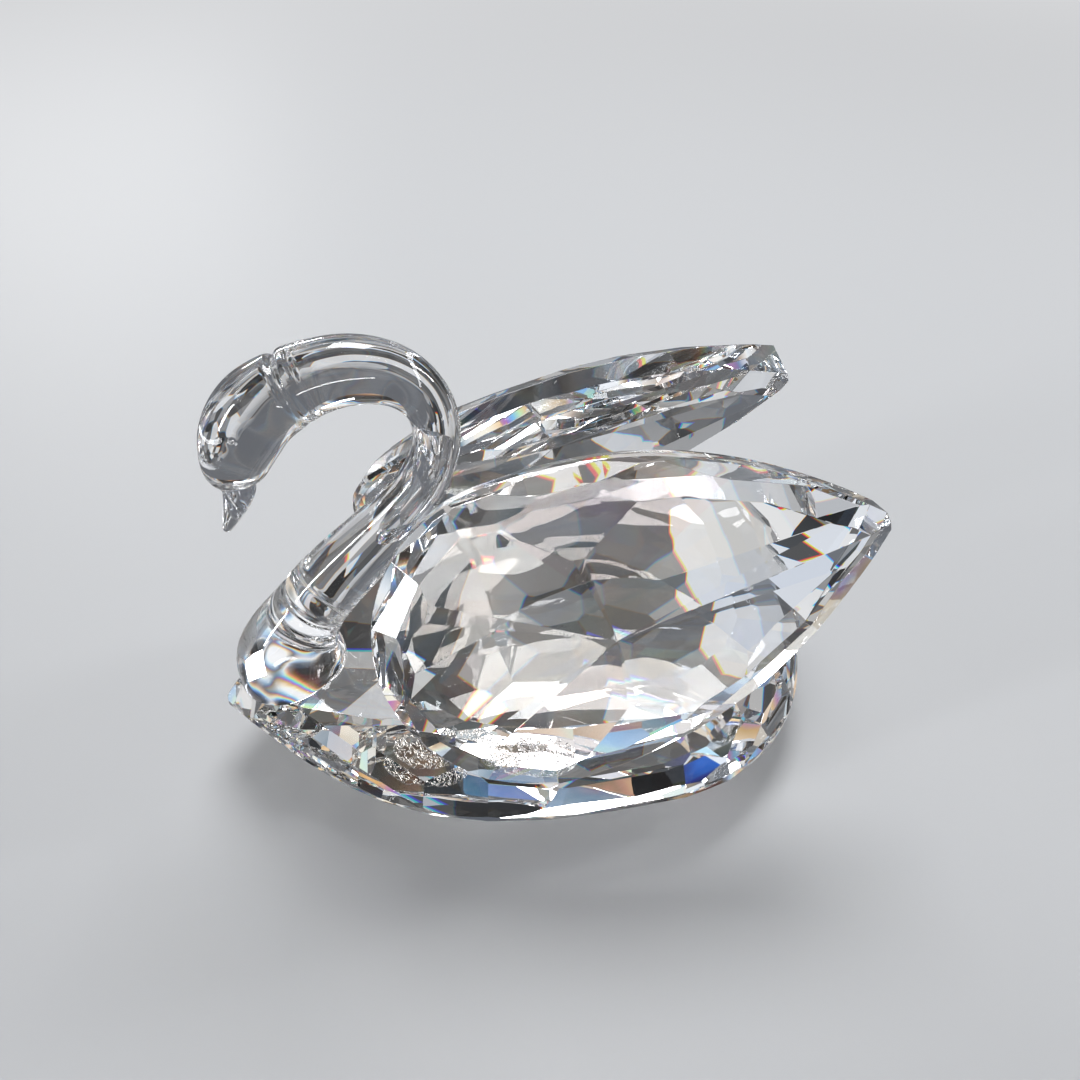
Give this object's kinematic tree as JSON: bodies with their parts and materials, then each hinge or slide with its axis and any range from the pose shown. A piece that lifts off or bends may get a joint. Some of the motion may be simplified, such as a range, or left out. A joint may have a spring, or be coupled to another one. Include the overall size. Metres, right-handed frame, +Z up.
{
  "type": "crystal swan figurine",
  "caption": "Clear faceted swan figurine: pear-cut body and raised pear-cut wings, with a smooth curved neck, head and beak bonded on; stands on its flat base.",
  "frame": {"origin": "on the surface that the swan stands on, in its plane of symmetry, below the widest part of the body's flat base", "axes": "+Z up, -X the way the swan faces, +Y its right side; the X-Z plane is the plane of symmetry"},
  "size_m": [0.0825, 0.053, 0.0657],
  "materials": {
    "cut_crystal": "polished, sharp facet edges",
    "moulded_crystal": "fire-polished, smooth",
    "clear_adhesive": "cured, slightly cloudy with fine bubbles"
  },
  "bodies": {
    "root": {"body": "cut_crystal", "left_wing": "cut_crystal", "right_wing": "cut_crystal", "neck_and_head": "moulded_crystal", "left_wing_bond": "clear_adhesive", "right_wing_bond": "clear_adhesive", "neck_bond": "clear_adhesive"}
  },
  "joints": []
}
